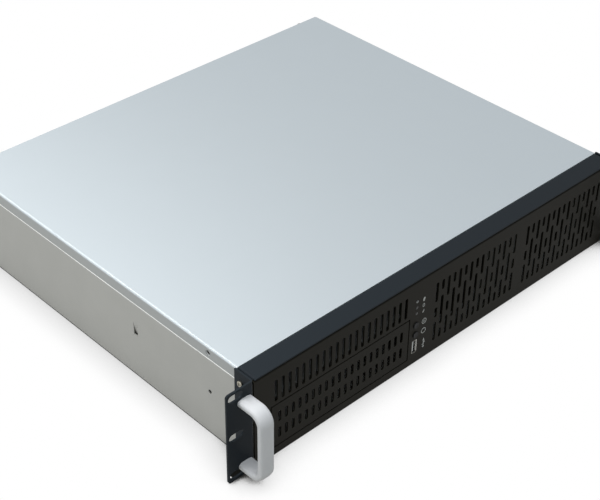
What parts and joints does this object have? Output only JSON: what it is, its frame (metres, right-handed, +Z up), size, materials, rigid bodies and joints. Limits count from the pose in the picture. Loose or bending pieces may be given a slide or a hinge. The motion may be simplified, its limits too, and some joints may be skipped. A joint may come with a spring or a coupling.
{
  "type": "rackmount server case",
  "caption": "Empty short rackmount server case with slotted black face, rack ears, aluminium handles, fans and a lift-off top cover that slides back.",
  "frame": {"origin": "middle of the underside of the case body, on the surface it stands on", "axes": "+X along the front to the right as seen from the front, +Y from the face to the back, +Z up"},
  "size_m": [0.4826, 0.4133, 0.088],
  "materials": {
    "galvanised_steel": "satin galvanised sheet",
    "cover_steel": "satin galvanised sheet, smooth",
    "black_powder_coat": "satin black powder coat",
    "satin_aluminium": "satin anodised",
    "nickel_screw": "nickel plated",
    "aluminium_rivet": "plain",
    "brass": "turned",
    "black_plastic": "moulded",
    "white_plastic": "moulded",
    "clear_plastic": "moulded, clear",
    "board_green": "solder mask"
  },
  "bodies": {
    "case": {"base_tray": "galvanised_steel", "rear_panel": "galvanised_steel", "rear_rivets": "aluminium_rivet", "card_slot_covers": "galvanised_steel", "card_cover_screws": "nickel_screw", "motherboard_standoffs": "brass", "front_panel": "black_powder_coat", "front_top_strip": "black_powder_coat", "ear_bracket_right": "black_powder_coat", "ear_bracket_left": "black_powder_coat", "ear_screws": "nickel_screw", "handle_right": "satin_aluminium", "handle_left": "satin_aluminium", "handle_screws": "nickel_screw", "drive_cage": "galvanised_steel", "bay_cover": "black_powder_coat", "bay_cover_screws": "nickel_screw", "floor_screws": "nickel_screw", "fan_wall": "galvanised_steel", "fan_frame_1": "black_plastic", "fan_frame_2": "black_plastic", "fan_screws": "nickel_screw", "control_bracket": "galvanised_steel", "control_board": "board_green", "control_board_screws": "nickel_screw", "light_pipes": "clear_plastic", "tact_switches": "black_plastic", "usb_shell": "nickel_screw", "usb_insert": "white_plastic"},
    "cover": {"top_cover": "cover_steel", "cover_thumbscrews": "nickel_screw"},
    "fan_1": {"fan_rotor_1": "black_plastic"},
    "fan_2": {"fan_rotor_2": "black_plastic"},
    "power": {"power_button": "black_plastic"},
    "reset": {"reset_button": "black_plastic"}
  },
  "joints": [
    {"name": "cover_slide", "type": "slide", "parent": "case", "child": "cover", "axis": [0, 1, 0], "range_m": [0, 0.3]},
    {"name": "power_press", "type": "slide", "parent": "case", "child": "power", "axis": [0, 1, 0], "range_m": [0, 0.001], "stiffness_N_per_m": 600},
    {"name": "reset_press", "type": "slide", "parent": "case", "child": "reset", "axis": [0, 1, 0], "range_m": [0, 0.001], "stiffness_N_per_m": 600},
    {"name": "fan_1_spin", "type": "hinge", "parent": "case", "child": "fan_1", "pos_m": [0.034, -0.15875, 0.044], "axis": [0, 1, 0], "continuous": true},
    {"name": "fan_2_spin", "type": "hinge", "parent": "case", "child": "fan_2", "pos_m": [0.1495, -0.15875, 0.044], "axis": [0, 1, 0], "continuous": true}
  ]
}
